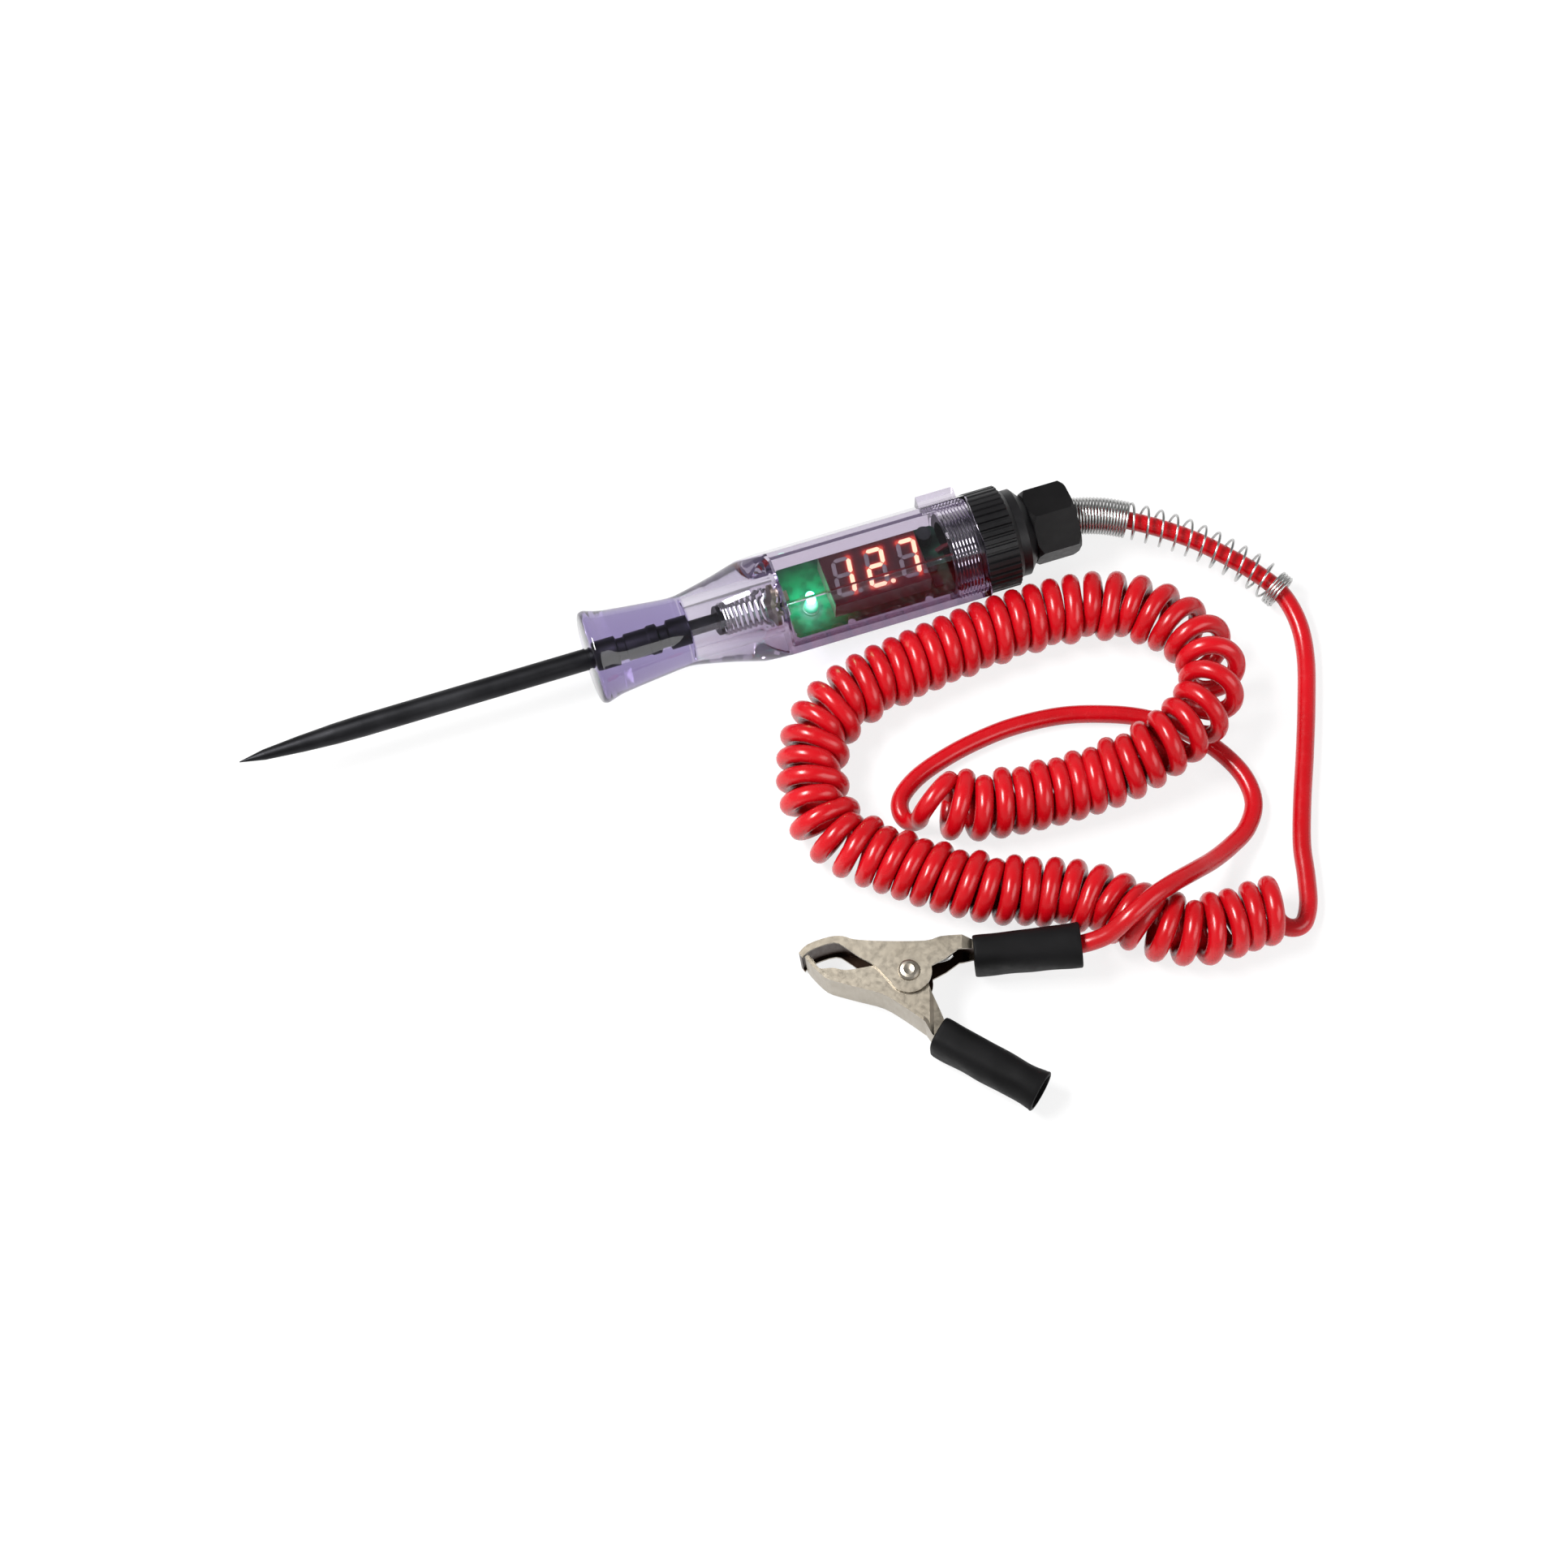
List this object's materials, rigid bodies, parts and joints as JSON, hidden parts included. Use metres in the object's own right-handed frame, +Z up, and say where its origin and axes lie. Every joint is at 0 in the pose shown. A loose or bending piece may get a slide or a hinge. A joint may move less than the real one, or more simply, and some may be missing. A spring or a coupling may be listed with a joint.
{
  "type": "automotive circuit tester",
  "caption": "Pointed probe in a clear hexagonal handle with a lit voltage display, a spring strain relief, a coiled red lead and a sprung ground clip with black sleeves.",
  "frame": {"origin": "on the floor under the centre of the tester's own box, without the lead and the clip", "axes": "+X along the tester from the probe tip to the gland nut, +Z up from the floor it lies on, +Y away from the coil"},
  "size_m": [0.2216, 0.1341, 0.0217],
  "materials": {
    "probe": "blackened",
    "clear_plastic": "clear, faint lilac",
    "spring_steel": "bright",
    "brass": "satin",
    "board": "solder mask",
    "led": "lit green",
    "display": "dark red",
    "segments_lit": "lit",
    "segments_dark": "unlit",
    "chip": "moulded",
    "resistor": "ceramic",
    "capacitor": "can",
    "cap": "satin black",
    "clamp": "matt",
    "nut": "satin black",
    "cord": "glossy vinyl",
    "nickel": "satin nickel plate",
    "sleeve": "matt vinyl"
  },
  "bodies": {
    "tester": {"probe": "probe", "handle": "clear_plastic", "contact_spring": "spring_steel", "contact_cup": "brass", "circuit_board": "board", "indicator_led": "led", "display_case": "display", "lit_segments": "segments_lit", "dark_segments": "segments_dark", "controller_chip": "chip", "resistors": "resistor", "capacitor": "capacitor", "inner_wire": "cord", "end_cap": "cap", "cord_clamp": "clamp", "gland_nut": "nut", "relief_spring": "spring_steel", "lead_out": "cord", "coil": "cord", "lead_loop": "cord", "clip_upper_jaw": "nickel", "clip_rivet": "nickel", "clip_spring": "spring_steel", "cable_crimp": "nickel", "upper_sleeve": "sleeve"},
    "clip_jaw": {"clip_lower_jaw": "nickel", "lower_sleeve": "sleeve"}
  },
  "joints": [
    {"name": "clip_hinge", "type": "hinge", "parent": "tester", "child": "clip_jaw", "pos_m": [0.0247, -0.0867, 0.00666], "axis": [-0.0891, -0.0831, 0.9925], "range_deg": [0, 22], "stiffness_Nm_per_rad": 0.02, "springref_deg": -22.92, "deforming": ["clip_spring"]}
  ]
}
